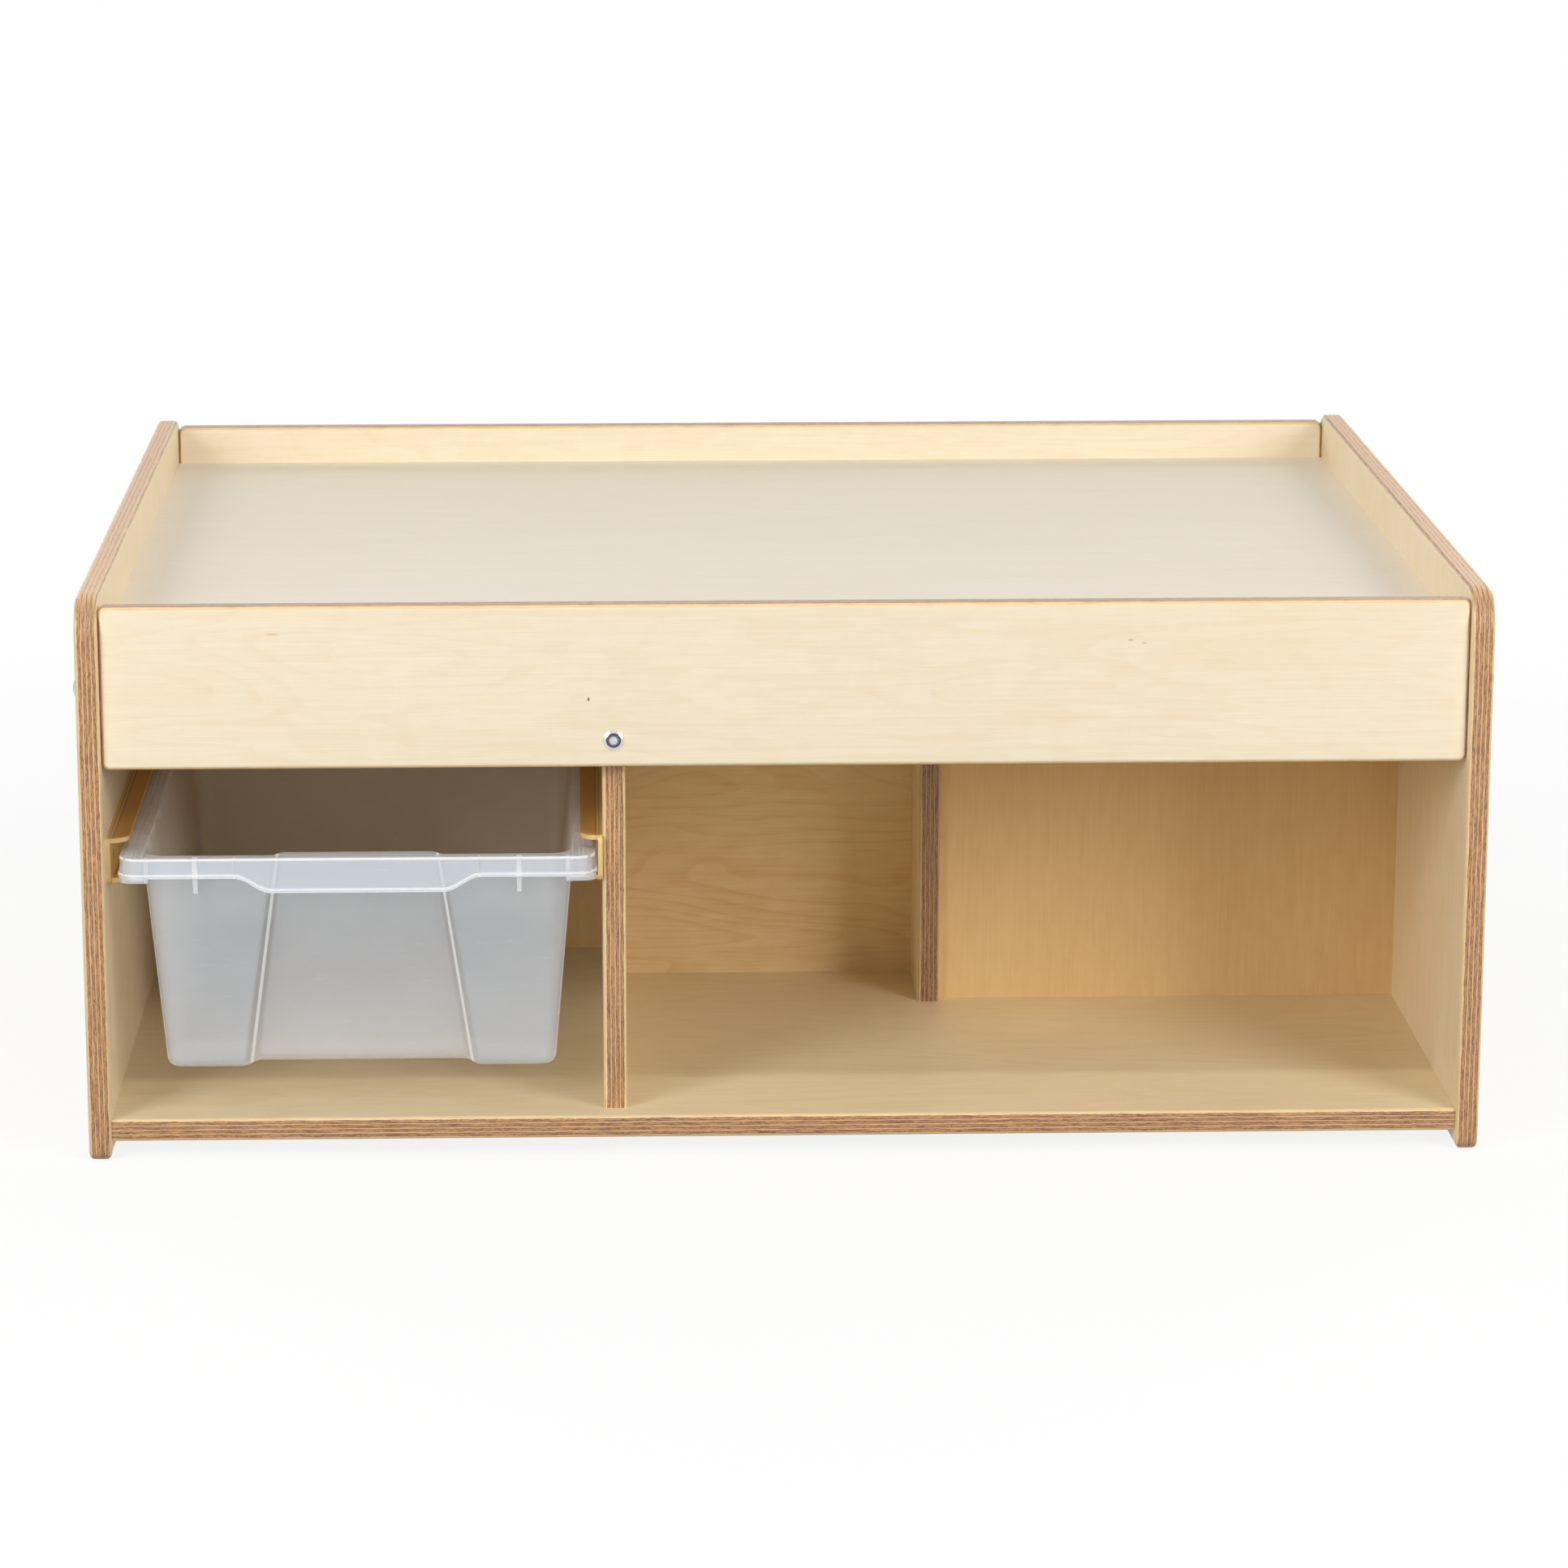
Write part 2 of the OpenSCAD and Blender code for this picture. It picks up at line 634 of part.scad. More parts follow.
module left_barrel_nuts() { color(steel) end_nuts(concat(apron_bolts, base_bolts, top_bolts, back_bolts)); }
module right_barrel_nuts() { rotate(turn) left_barrel_nuts(); }
module divider_barrel_nuts() { color(steel) both_ends() barrel_nut(divider_nut_at, [-1, 0, 0], [0, 1, 0]); }

module apron_dowels() { color(beech) both_ends() dowels(apron_dowel_spots); }
module base_dowels() { color(beech) both_ends() dowels(base_dowel_spots); }
module top_dowels() { color(beech) both_ends() dowels(top_dowel_spots); }
module divider_dowels() { color(beech) both_ends() dowels(divider_dowel_spots); }
module bay_back_dowels() { color(beech) both_ends() dowels(back_dowel_spots); }
module partition_dowels() { color(beech) both_ends() dowels(partition_dowel_spots); }
module base_screws() { color(steel) both_ends() base_screw_set(); }

left_end_panel();
right_end_panel();
front_apron();
rear_apron();
play_top();
base_shelf();
front_divider();
rear_divider();
centre_partition();
front_bay_back();
rear_bay_back();
front_tray();
rear_tray();
front_outer_runner();
front_inner_runner();
rear_outer_runner();
rear_inner_runner();
front_runner_screws();
rear_runner_screws();
left_panel_bolts();
right_panel_bolts();
front_apron_bolt();
rear_apron_bolt();
left_barrel_nuts();
right_barrel_nuts();
divider_barrel_nuts();
apron_dowels();
base_dowels();
top_dowels();
divider_dowels();
bay_back_dowels();
partition_dowels();
base_screws();
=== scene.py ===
"""Looks of a low birch plywood play table with two sliding storage trays.

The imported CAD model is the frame: metres, origin on the floor under the middle of
the table, +X to the right, +Y to the back, +Z up. The wood, the trays' plastic and
their mesh are worked out in millimetres and scaled where they are made.
"""

import math

import bmesh
import bpy
from mathutils import Matrix, Vector


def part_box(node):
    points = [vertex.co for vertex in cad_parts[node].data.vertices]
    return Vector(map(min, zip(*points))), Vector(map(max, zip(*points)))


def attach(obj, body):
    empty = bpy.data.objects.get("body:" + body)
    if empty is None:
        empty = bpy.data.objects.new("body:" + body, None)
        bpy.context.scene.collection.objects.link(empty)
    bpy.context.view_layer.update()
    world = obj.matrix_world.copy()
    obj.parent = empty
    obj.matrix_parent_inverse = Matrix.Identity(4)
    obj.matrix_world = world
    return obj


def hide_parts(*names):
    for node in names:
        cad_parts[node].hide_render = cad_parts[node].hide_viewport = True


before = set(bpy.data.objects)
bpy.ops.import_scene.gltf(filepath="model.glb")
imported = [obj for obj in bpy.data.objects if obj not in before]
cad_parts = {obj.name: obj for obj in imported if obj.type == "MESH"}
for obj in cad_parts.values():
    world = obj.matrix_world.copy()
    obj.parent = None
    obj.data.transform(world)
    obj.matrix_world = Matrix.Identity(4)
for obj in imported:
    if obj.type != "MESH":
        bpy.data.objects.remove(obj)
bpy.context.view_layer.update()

MM = 0.001
AXES = "XYZ"
X, Y, Z = 0, 1, 2


def shade(red, green, blue):
    """Colour as it looks on a screen, 0 to 255, as the shader's linear colour."""
    linear = []
    for part in (red / 255, green / 255, blue / 255):
        linear.append(part / 12.92 if part <= 0.04045 else ((part + 0.055) / 1.055) ** 2.4)
    return (*linear, 1.0)


WHITE = (1, 1, 1, 1)
BLACK = (0, 0, 0, 1)
SOFT_FROM = 0.45


class Value:
    """A number that changes over a surface: a shader socket that can be used in plain sums."""

    def __init__(self, finish, socket):
        self.finish = finish
        self.socket = socket

    def other(self, name):
        """Another output of the same node."""
        return Value(self.finish, self.socket.node.outputs[name])

    def math(self, operation, *numbers):
        settings = {"operation": operation}
        return self.finish.node("ShaderNodeMath", settings, dict(enumerate(numbers)))

    def __add__(self, number):
        return self.math("ADD", self, number)

    __radd__ = __add__

    def __sub__(self, number):
        return self.math("SUBTRACT", self, number)

    def __rsub__(self, number):
        return self.math("SUBTRACT", number, self)

    def __mul__(self, number):
        return self.math("MULTIPLY", self, number)

    __rmul__ = __mul__

    def __truediv__(self, number):
        return self.math("DIVIDE", self, number)

    def __abs__(self):
        return self.math("ABSOLUTE", self)

    def cosine(self):
        return self.math("COSINE", self)

    def fraction(self):
        return self.math("FRACT", self)

    def sign(self):
        return self.math("SIGN", self)

    def root(self):
        return self.math("SQRT", self)

    def at_most(self, number):
        return self.math("MINIMUM", self, number)

    def at_least(self, number):
        return self.math("MAXIMUM", self, number)

    def clamped(self):
        return self.at_least(0).at_most(1)

    def ease(self, low, high):
        """Smooth step from 0 at low to 1 at high; low may be the larger."""
        return self.finish.node("ShaderNodeMapRange", {"interpolation_type": "SMOOTHSTEP"},
                                {0: self, 1: low, 2: high})

    def near(self, middle, half):
        """1 near the middle, 0 further away than half."""
        return abs(self - middle).ease(half, half * SOFT_FROM)

    def towards(self, target, share):
        """This value moved towards another by a share from 0 to 1."""
        return self + share * (target - self)


def highest(first, *others):
    for value in others:
        first = first.at_least(value)
    return first


class Finish:
    """The node tree of a material or of the world."""

    def __init__(self, owner):
        self.owner = owner
        owner.use_nodes = True
        self.tree = owner.node_tree
        self.tree.nodes.clear()

    def node(self, kind, settings, sockets, output=0):
        """Adds a node: its settings first, then the values or links of its sockets."""
        node = self.tree.nodes.new(kind)
        for name, setting in settings.items():
            setattr(node, name, setting)
        for key, value in sockets.items():
            if isinstance(value, Value):
                self.tree.links.new(value.socket, node.inputs[key])
            else:
                node.inputs[key].default_value = value
        return Value(self, node.outputs[output]) if len(node.outputs) else None

    def coordinates(self, output="Object"):
        """The three parts of a place on the object, in metres, or of its normal."""
        place = self.node("ShaderNodeTexCoord", {}, {}, output)
        first = self.node("ShaderNodeSeparateXYZ", {}, {0: place})
        return [first.other(axis) for axis in AXES]

    def noise(self, x, y, z, detail=2.0, roughness=0.5, distortion=0.0):
        """Cloudy noise from 0 to 1, with spots about one unit across."""
        place = self.node("ShaderNodeCombineXYZ", {}, {0: x, 1: y, 2: z})
        return self.node("ShaderNodeTexNoise", {}, {
            "Vector": place, "Scale": 1.0, "Detail": detail,
            "Roughness": roughness, "Distortion": distortion})

    def specks(self, place, counts, detail):
        """Noise with a number of spots in each unit of length along x, y and z."""
        return self.noise(*(part * count for part, count in zip(place, counts)), detail)

    def mix(self, share, first, second):
        return self.node("ShaderNodeMix", {"data_type": "RGBA"}, {0: share, 6: first, 7: second}, 2)

    def bump(self, height, strength, distance):
        return self.node("ShaderNodeBump", {}, {"Height": height, "Strength": strength,
                                                "Distance": distance})

    def principled(self, sockets):
        return self.node("ShaderNodeBsdfPrincipled", {}, sockets)

    def shader_mix(self, share, first, second):
        return self.node("ShaderNodeMixShader", {}, {0: share, 1: first, 2: second})

    def shown(self):
        """1 where a picture, a reflection or a see-through wall shows it, 0 for its light."""
        rays = self.node("ShaderNodeLightPath", {}, {}, "Is Camera Ray")
        return highest(rays, rays.other("Is Glossy Ray"), rays.other("Is Transmission Ray"))

    def done(self, shader, kind="ShaderNodeOutputMaterial"):
        self.node(kind, {}, {"Surface": shader})
        return self.owner


def new_finish(name):
    return Finish(bpy.data.materials.new(name))


# Birch plywood, in mm. The plies alternate, and a pair of them takes up PLY_PAIR. The wave and
# the ripple bend them, and the swell makes the light ones thicker or thinner. They are thinner
# where LIGHT_PLY is nearer 1. The steps give each face of each panel its own piece of veneer.
HALF_PLY = 7.5
PLY_PAIR = 3.0
PLY_SHIFT = 0.35
LIGHT_PLY = 0.8
PLY_CRISPNESS = 4
WAVE_DEPTH = 0.9
RIPPLE_DEPTH = 0.5
SWELL_SHARE = 0.8
FACE_STEP = 13
PANEL_STEP = 31.7
SKIN_FROM = (HALF_PLY - 0.35, HALF_PLY - 0.05)
OUTER_VENEER_FROM = (4.9, 5.3)

# Size of what shows in a veneer, in mm along the face grain and beside it
PORE = (2.6, 0.3)
STREAK = (120, 3.2)
RING_FIELD = (330, 62)
SILK = (17, 8)
CLOUD = (210, 90)
PLY_WAVE = (24, 24)
PLY_RIPPLE = (3.5, 3.5)

# The same for what changes through the thickness, with that size too
FIBRE = (38, 0.45, 0.45)
CROSS_FIBRE = (2.5, 38, 0.4)
PLY_SWELL = (30, 30, 2)
TORN_FIBRE = (14, 14, 0.4)
GAP_IN_PLY = (4.5, 4.5, 0.7)

# How much each darkens the face veneer or the edges
BASE_SHARE = 0.2
STREAK_SHARE = 0.35
FIBRE_SHARE = 0.6
SILK_SHARE = 0.35
CLOUD_SHARE = 0.5
PORE_SHARE = 0.28
GLUE_SHARE = 0.12
GAP_SHARE = 0.8
LONG_GRAIN_SHARE = 0.7

# Darker wood on a cut: its mean share, and how much fibres and torn places change it
LONG_GRAIN_CUT = (0.15, 1.2, 2.6)
END_GRAIN_CUT = (0.5, 2.4, 5.2)

# Tones of the face veneers, light and dark, and of the edges
PALE_BIRCH = (shade(243, 230, 205), shade(229, 205, 161))
# Play top: paler and greyer, partly its own veneer, partly painted sheen
TOP_BIRCH_AND_SHEEN = (shade(246, 236, 218), shade(236, 222, 196))
SHELF_BIRCH = (shade(238, 221, 184), shade(222, 194, 144))
WARM_BIRCH = (shade(244, 227, 196), shade(230, 202, 152))
# The bay backs and the partition are more orange: partly their own veneer, partly painted warm
# shade of the deep bays
HONEY_BIRCH_AND_BAY_SHADE = (shade(233, 198, 142), shade(214, 168, 108))
FIGURED_BIRCH_AND_BAY_SHADE = (shade(244, 218, 168), shade(224, 178, 114))
# The outer plies are paler on a cut: partly their own wood, partly painted light on the rounded
# edge
OUTER_VENEER_AND_EDGE_LIGHT = shade(238, 208, 156)
INNER_LONG_GRAIN = shade(226, 180, 130)
END_GRAIN = (shade(202, 154, 108), shade(120, 82, 56))
# Darker brown that a panel's cut edges can be given
DARK_EDGE_BROWN = shade(88, 56, 34)
GLUE_LINE = shade(108, 72, 48)
PLY_VOID = shade(52, 36, 32)


class Plywood:
    """Where a point lies in a panel, and how the wood runs there.

    `across` is the axis through the panel, `grain` that of its face grain, and
    each `figure` number gives another piece of veneer.
    """

    def __init__(self, finish, panel, across, grain, figure):
        low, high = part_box(panel)
        place = finish.coordinates()
        facing = finish.coordinates("Normal")
        side = X + Y + Z - across - grain
        self.finish = finish
        self.figure = figure
        self.along = place[grain] / MM
        self.beside = place[side] / MM
        self.depth = place[across] / MM - (low[across] + high[across]) / 2 / MM
        self.veneer = self.depth.sign() * FACE_STEP + figure * PANEL_STEP
        self.skin = abs(self.depth).ease(*SKIN_FROM)
        self.bare = 1 - self.skin
        self.crossed = self.plies()
        self.end = abs(facing[grain]).towards(abs(facing[side]), self.crossed).ease(0.25, 0.85)
        self.fine = self.inside(FIBRE, 2).towards(self.inside(CROSS_FIBRE, 2), self.crossed)
        self.torn = self.inside(TORN_FIBRE, 3, figure, 0.75)
        self.pores = self.noise(PORE, self.veneer, 1).ease(0.66, 0.8)
        self.glue = (1 - abs(2 * self.crossed - 1)) * self.bare
        self.gap = self.inside(GAP_IN_PLY, 1).ease(0.73, 0.77) * self.crossed * self.bare

    def noise(self, size, layer, detail, roughness=0.5, distortion=0.0):
        """Noise with spots of one size, which differs from layer to layer."""
        along, beside = size
        return self.finish.noise(self.along / along, self.beside / beside, layer, detail,
                                 roughness, distortion)

    def inside(self, size, detail, shift=0.0, roughness=0.5):
        """Noise that changes through the panel's thickness too."""
        along, beside, through = size
        return self.noise((along, beside), self.depth / through + shift, detail, roughness)

    def plies(self):
        """0 in plies whose fibres run along the face grain, 1 where they run across it."""
        wave = self.noise(PLY_WAVE, self.figure, 3) - 0.5
        ripple = self.noise(PLY_RIPPLE, self.figure + 3, 1) - 0.5
        swell = self.inside(PLY_SWELL, 2, self.figure) - 0.5
        bent = self.depth - PLY_SHIFT + WAVE_DEPTH * wave + RIPPLE_DEPTH * ripple
        turn = (abs(bent).at_most(2 * PLY_PAIR) * (2 * math.pi / PLY_PAIR)).cosine()
        return ((LIGHT_PLY + SWELL_SHARE * swell - turn) * PLY_CRISPNESS + 0.5).clamped()

    def face(self, tone, rings, figured, contrast):
        """Face veneer. Its growth rings are the contour lines of a slow field."""
        streak = self.noise(STREAK, self.veneer, 3, 0.6)
        field = self.noise(RING_FIELD, self.veneer, 2, 0.42, 0.35)
        silk = self.noise(SILK, self.veneer, 2)
        cloud = self.noise(CLOUD, self.veneer + 5, 2)
        ring = (field * rings + 0.12 * streak).fraction()
        line = ring.ease(0.45, 0.93) * ring.ease(1.0, 0.95)
        dark = (figured * line + STREAK_SHARE * (streak - 0.5) + FIBRE_SHARE * (self.fine - 0.5)
                + SILK_SHARE * (silk - 0.5) + CLOUD_SHARE * (cloud - 0.5)) * contrast
        wood = self.finish.mix((dark + BASE_SHARE).clamped(), *tone)
        return self.finish.mix(self.pores * PORE_SHARE, wood, tone[1])

    def marked(self, face, mark):
        """Adds an oval mark to the veneer on one side of the panel."""
        at_along, at_beside, half_long, half_wide, side, strength, colour = mark
        a = (self.along - at_along) / half_long
        b = (self.beside - at_beside) / half_wide
        on_face = (self.depth * side).ease(HALF_PLY - 1, HALF_PLY - 0.2)
        spot = (a * a + b * b).root().ease(1.0, 0.45) * on_face
        return self.finish.mix(spot * strength, face, colour)

    def roughened(self, mean, fibres, torn):
        """Share of darker wood on a cut edge."""
        return (mean + fibres * (self.fine - 0.5) + torn * (self.torn - 0.5)).clamped()

    def cut(self, face, edge_darkening):
        """Adds the edges: long grain pale, end grain brown, with glue lines and small gaps."""
        f = self.finish
        # paler outer plies: partly painted light on the rounded edge
        inner = f.mix(abs(self.depth).ease(*OUTER_VENEER_FROM), INNER_LONG_GRAIN, OUTER_VENEER_AND_EDGE_LIGHT)
        inner = f.mix(self.roughened(*LONG_GRAIN_CUT) * LONG_GRAIN_SHARE, inner, END_GRAIN[0])
        brown = f.mix(self.roughened(*END_GRAIN_CUT), *END_GRAIN)
        wood = f.mix(self.end * self.bare, f.mix(self.skin, inner, face), brown)
        # cut edges darker brown by the panel's given share
        wood = f.mix(edge_darkening * self.bare, wood, DARK_EDGE_BROWN)
        wood = f.mix(self.glue * GLUE_SHARE, wood, GLUE_LINE)
        return f.mix(self.gap * GAP_SHARE, wood, PLY_VOID)


def birch_ply(panel, across, grain, tone, figure, rings=14, figured=0.18, contrast=1.0,
              marks=(), edge_darkening=0.0, gloss=0.5):
    """Lacquered birch plywood of one panel, its edges darkened by a given share and its faces
    glossed.
    """
    f = new_finish(panel + "_birch")
    ply = Plywood(f, panel, across, grain, figure)
    face = ply.face(tone, rings, figured, contrast)
    for mark in marks:
        face = ply.marked(face, mark)
    height = 0.5 * ply.fine + 0.3 * (1 - ply.pores) - 1.5 * ply.gap - 0.3 * ply.glue
    return f.done(f.principled({
        "Base Color": ply.cut(face, edge_darkening),
        "Roughness": 0.46 + 0.12 * ply.fine + 0.1 * ply.bare,
        "Normal": f.bump(height, 0.25, 0.00015),
        "Specular IOR Level": 0.2,
        "Coat Weight": 1 + (gloss - 1) * ply.skin,
        "Coat Roughness": 0.42,
    }))


# Runners. Places on them are in mm from the panel that carries each: the web's lighter colour,
# painted light, fades out over WEB_TO, and each dark line has its place and half width.
BAY_MIDDLE = 280.5
BAY_HALF_W = 161.5
WEB_TO = (4.6, 4.2)
DARK_LINES = ((4.5, 0.7), (2.3, 0.5))
LINE_SHARE = 0.6
TAN_FACE = (shade(198, 144, 74), shade(216, 164, 90))
# Golden of the ends and the web: painted light
TAN_PAINTED_LIGHT_END = (shade(226, 188, 120), shade(238, 206, 144))
TAN_PAINTED_LIGHT_WEB = shade(222, 180, 112)
TAN_LINE = shade(120, 84, 44)


def tan_plastic():
    """Tan moulded plastic: brown on its faces, with painted light making its web and its ends
    golden.
    """
    f = new_finish("runner_tan_plastic")
    place = f.coordinates()
    ahead = abs(f.coordinates("Normal")[Y])
    flow = f.specks(place, (60, 12, 60), 3)
    grit = f.specks(place, (1500, 1500, 1500), 1)
    tone = (flow + 0.25 * (grit - 0.5)).clamped()
    from_panel = BAY_HALF_W - abs(abs(place[X]) / MM - BAY_MIDDLE)
    line = highest(*(from_panel.near(*place) for place in DARK_LINES))
    # the web near the panel is lighter: painted light
    face = f.mix(from_panel.ease(*WEB_TO), f.mix(tone, *TAN_FACE), TAN_PAINTED_LIGHT_WEB)
    face = f.mix(line * LINE_SHARE, face, TAN_LINE)
    return f.done(f.principled({
        # faces turned along Y are golden: painted light
        "Base Color": f.mix(ahead.ease(0.04, 0.35), face, f.mix(tone, *TAN_PAINTED_LIGHT_END)),
        "Roughness": 0.27 + 0.12 * flow,
        "Normal": f.bump(grit, 0.12, 0.00005),
    }))


# The storage tray, in mm from the middle of its rim's top plane; its front is towards -Y
TRAY_HALF_W = 155.75
TRAY_HALF_D = 213.5
TRAY_H = 147.5
TRAY_WALL = 1.8
RIM_SIDE = 15.4
RIM_FRONT = 9.5
DRAFT = 13.0
MOUTH_R = 15.0
FOOT_R = 8.0
RIM_R = 14.0
FLOOR_R = 6.0

# The grip: the front wall is set in behind it, and the skirt hangs lower there
GRIP_HALF_W = 56.0
GRIP_REACH = 1.43
GRIP_SPREAD = 0.4
GRIP_DROP = 9.8
WALL_SHARE = 0.86
RECESS_TOP = 8.0
RECESS_LOW = 14.5

# The rim's skirt with its hem and the lip under its corners
FRONT_SKIRT = 13.3
CORNER_LIP = 3.05
SIDE_LIP = 4.4
NO_LIP = 0.08
CORNER_X = 135.75
CORNER_STEP = 0.4
HEM = 2.3

# Ribs, gussets and corner plates between the skirt and the wall; the side ribs' places are
# counted from the front
SKIRT_INSIDE = 2.2
RIB_X = 105.0
GUSSET_X = 79.4
PLATE_X = CORNER_X + 0.9
SIDE_RIBS = (78, 121, 162, 205)
SIDE_RIB_HALF = 0.7
SIDE_RIB_INTO = 1.6
SIDE_RIB_LOW = -FRONT_SKIRT + 1.5
PLATE_TOP = -TRAY_WALL + 0.6

# White marks on the tray, whiter thick plastic and painted highlight lines: place and half width in
# mm, and for the ribs how white they are
RIB_MARKS = ((RIB_X, 2.7, 0.85), (GUSSET_X, 1.3, 0.6), (PLATE_X, 2.0, 0.75))
HEM_MARKS = ((HEM - 0.1, 0.75), (0.0, 0.9))
RIM_MARKS = ((-0.8, 1.3), (3.6, 0.8), (6.4, 0.7))
RIM_EDGE_MARK = (-0.9, 1.2)
SIDE_RIB_MARK_HALF = 1.2
SIDE_RIB_WHITE = 0.5
CORNER_WHITE = 0.5
RIM_WHITE = 0.35
RIM_MARK_WHITE = 0.6

# Zones in mm inside the rim's outline, each from where it starts to where it is full
SKIRT_ZONE = (5, 4)
FRONT_ZONE = (8, 6)
SIDE_ZONE = (14, 12)
WALL_ZONE = (7, 8)

# Painted glow, an emission along the walls' lower edge, corners and creases: along Y in mm, and
# down the wall in shares of its height
GLOW_Y = (-150, -170)
CREASE_Y = (-165, -172)
CREASE_HALF = 1.5
LOWER_EDGE = (0.966, 0.978)
CORNER_FROM = (0.11, 0.14)
LOWER_GLOW = 0.6

# Tray plastic: milk in its front and back walls, and the share of light that passes them
MILK_FRONT = 0.33
MILK_BACK = 0.36
PASSING = 0.88
CLEAR_ALPHA = 0.12
THICK_AND_HIGHLIGHT_MILK = 0.9
CLEAR_WHITE = shade(252, 253, 254)
MILK_WHITE = (shade(197, 203, 209), shade(210, 215, 220))
# Warm white of the tray's back part: painted warm light bounced from the wood around it
PAINTED_WARM_LIGHT_MILK = shade(246, 234, 223)
# White of the thick places and of the painted highlight lines
THICK_AND_HIGHLIGHT_WHITE = shade(240, 241, 243)
# Bluish grey of the skirt: painted shade and painted sky reflection
PAINTED_SHADE_SKIRT_WHITE = shade(206, 214, 227)
# Colour of the painted glow
PAINTED_EDGE_GLOW = shade(122, 121, 118)


def past_wall(side, end, z):
    """How far a place is outside the wall's plain faces, at the sides and at the ends."""
    draft = DRAFT * (z / -TRAY_H)
    return side - (TRAY_HALF_W - RIM_SIDE) + draft, end - (TRAY_HALF_D - RIM_FRONT) + draft


def in_zone(place, outline, zone):
    """1 past a zone inside the rim's outline, on the side where the zone is full."""
    start, full = zone
    return place.ease(outline - start, outline - full)


def tray_whiter_and_highlights(side, end, z):
    """1 at whiter ribs and thick places and at painted highlight lines on edges, 0 on its plain
    walls.
    """
    past_side, past_end = past_wall(side, end, z)
    on_front = in_zone(end, TRAY_HALF_D, FRONT_ZONE)
    on_side = in_zone(side, TRAY_HALF_W, SIDE_ZONE) * SIDE_RIB_WHITE
    on_skirt = in_zone(end, TRAY_HALF_D, SKIRT_ZONE).at_least(
        in_zone(side, TRAY_HALF_W, SKIRT_ZONE))
    on_rim = z.ease(-3.2, -2.4)
    over_hem = z + FRONT_SKIRT + GRIP_DROP * (side / GRIP_HALF_W).ease(GRIP_REACH, 1.0)
    hem = highest(z.near(*RIM_EDGE_MARK), *(over_hem.near(*mark) for mark in HEM_MARKS))
    front_ribs = highest(side.ease(CORNER_X, CORNER_X + 3) * CORNER_WHITE,
                         *(side.near(x, half) * white for x, half, white in RIB_MARKS))
    side_ribs = highest(*(end.near(TRAY_HALF_D - at, SIDE_RIB_MARK_HALF) for at in SIDE_RIBS))
    rim = highest(past_end.near(*RIM_MARKS[0]), *(past_side.near(*mark) for mark in RIM_MARKS))
    return highest(hem * on_skirt, front_ribs * on_front, side_ribs * on_side,
                   (rim * RIM_MARK_WHITE).at_least(RIM_WHITE) * on_rim)


def painted_tray_glow(side, end, y, z):
    """1 where the walls get a painted glow: their lower edge, corners and creases."""
    down = z / -TRAY_H
    past_side, past_end = past_wall(side, end, z)
    on_wall = y.ease(*CREASE_Y) * in_zone(end, TRAY_HALF_D, WALL_ZONE)
    crease_x = GRIP_HALF_W * (1 + WALL_SHARE) / 2 * (1 + GRIP_SPREAD * down)
    crease = side.near(crease_x, CREASE_HALF) * on_wall
    foot_x = GRIP_HALF_W * (1 + GRIP_SPREAD)
    set_in = RECESS_LOW * side.ease(foot_x, foot_x * WALL_SHARE) * y.ease(0, -1)
    lower = down.ease(*LOWER_EDGE) * past_side.at_least(past_end + set_in).ease(-6, -4)
    corner = past_side.ease(-1.8, -0.8) * past_end.ease(-16, -8) * down.ease(*CORNER_FROM)
    return crease.at_least(lower.at_least(corner) * LOWER_GLOW * y.ease(*GLOW_Y))


def tray_plastic():
    """Frosted polypropylene: see-through walls, whiter at edges, ribs and thick places, partly with
    painted highlights; with a painted glow, painted warm light at the back and painted bluish shade
    on the skirt.
    """
    f = new_finish("tray_frosted_plastic")
    x, y, z = (part / MM for part in f.coordinates())
    side, end = abs(x), abs(y)
    flow = f.noise(x / 70, y / 70, z / 45, 3, 0.55)
    grain = f.specks((x, y, z), (0.9, 0.9, 0.9), 2)
    scuff = f.noise(x / 16, y / 16, z * 0.42, 2).ease(0.62, 0.85)
    # whiter thick plastic, and painted highlight lines along the rim, the hem and the rib tops
    edges = tray_whiter_and_highlights(side, end, z)
    # painted glow at the lower edge, corners and creases
    glow = painted_tray_glow(side, end, y, z)
    bump = f.bump(grain + 2 * flow, 0.15, 0.00008)
    rays = f.node("ShaderNodeLightPath", {}, {}, "Is Shadow Ray")
    seen = 1 - rays.at_least(rays.other("Is Diffuse Ray")) * PASSING
    clear = f.principled({
        "Base Color": CLEAR_WHITE,
        "Roughness": 0.2 + 0.1 * grain,
        "Normal": bump,
        "Specular IOR Level": 1.0,
        "Alpha": CLEAR_ALPHA * seen,
    })
    skirt = in_zone(end, TRAY_HALF_D, SKIRT_ZONE) * (1 - edges)
    # behind the front wall the milk is tinted warm: painted warm bounce light
    body = f.mix(y.ease(-195, -150), f.mix(flow, *MILK_WHITE), PAINTED_WARM_LIGHT_MILK)
    # whiter where thick, and painted highlight lines on the edges
    body = f.mix(edges, body, THICK_AND_HIGHLIGHT_WHITE)
    white = f.principled({
        # the skirt gets painted bluish shade
        "Base Color": f.mix(skirt, body, PAINTED_SHADE_SKIRT_WHITE),
        "Roughness": 0.34 + 0.12 * grain + 0.1 * scuff,
        "Normal": bump,
        # painted glow, emitted at the lower edge, corners and creases
        "Emission Color": f.mix(glow, BLACK, PAINTED_EDGE_GLOW),
        "Emission Strength": 1.0,
    })
    milk = MILK_BACK + (MILK_FRONT - MILK_BACK) * y.ease(0, -190)
    milk = milk + 0.06 * (flow - 0.5) + 0.05 * scuff
    share = highest(milk, edges * THICK_AND_HIGHLIGHT_MILK, glow * THICK_AND_HIGHLIGHT_MILK).clamped()
    return f.done(f.shader_mix(share * seen, clear, white))


